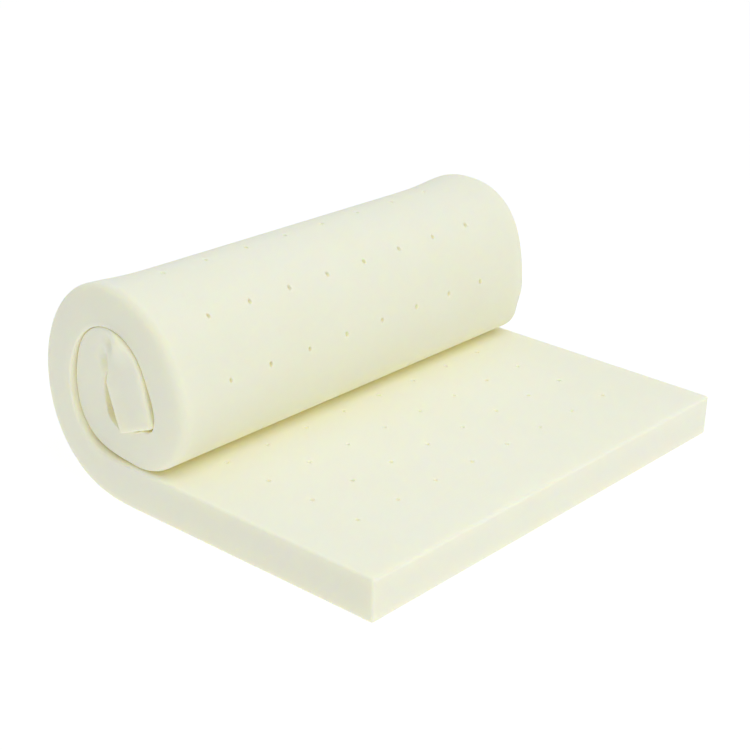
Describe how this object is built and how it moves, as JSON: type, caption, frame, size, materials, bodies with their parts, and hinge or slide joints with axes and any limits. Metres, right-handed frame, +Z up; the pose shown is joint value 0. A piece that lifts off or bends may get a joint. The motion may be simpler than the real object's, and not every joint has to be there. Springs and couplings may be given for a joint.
{
  "type": "ventilated foam mattress topper, partly unrolled",
  "caption": "Pale cream ventilated foam mattress topper: its front part lies flat and the rest is wound into a soft roll with the end tucked inside.",
  "frame": {"origin": "middle of the footprint, on the surface that the topper rests on", "axes": "+X from the roll to the free front edge, +Y along the roll, +Z up"},
  "size_m": [0.7646, 0.993, 0.3911],
  "materials": {
    "cream_foam": "matt, fine open-cell foam"
  },
  "bodies": {
    "root": {"topper_foam": "cream_foam"}
  },
  "joints": []
}
